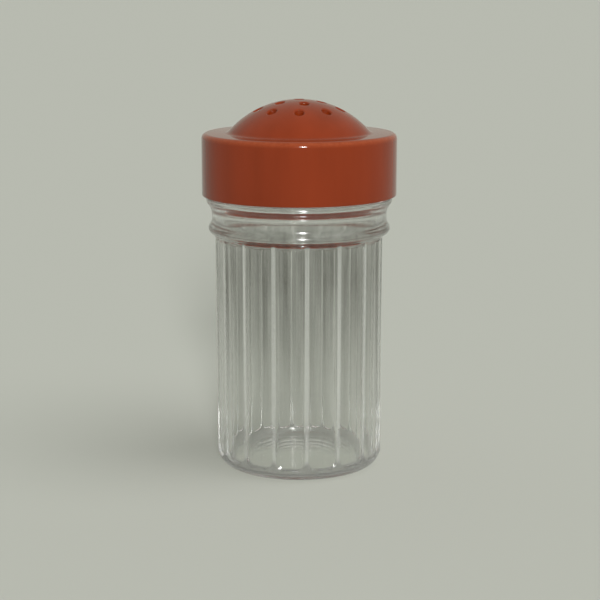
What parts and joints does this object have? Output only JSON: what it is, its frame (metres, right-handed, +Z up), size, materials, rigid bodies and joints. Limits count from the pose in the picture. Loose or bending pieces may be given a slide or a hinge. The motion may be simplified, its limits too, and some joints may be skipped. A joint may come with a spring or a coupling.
{
  "type": "salt shaker",
  "caption": "Clear ribbed plastic jar with a bead and collar, closed by an orange-red screw cap whose perforated dome pours the salt.",
  "frame": {"origin": "centre of the standing ring, on the surface that the jar stands on", "axes": "+Z up along the axis of the jar and the cap, -Y towards the viewer of the picture"},
  "size_m": [0.044, 0.044, 0.0839],
  "materials": {
    "clear_plastic": "clear moulded styrene, polished, lightly scuffed",
    "cap_plastic": "opaque orange-red moulded plastic, glossy"
  },
  "bodies": {
    "jar": {"jar": "clear_plastic"},
    "cap": {"cap": "cap_plastic"}
  },
  "joints": [
    {"name": "cap_lift", "type": "slide", "parent": "jar", "child": "cap", "axis": [0, 0, 1], "range_m": [0, 0.03]}
  ]
}
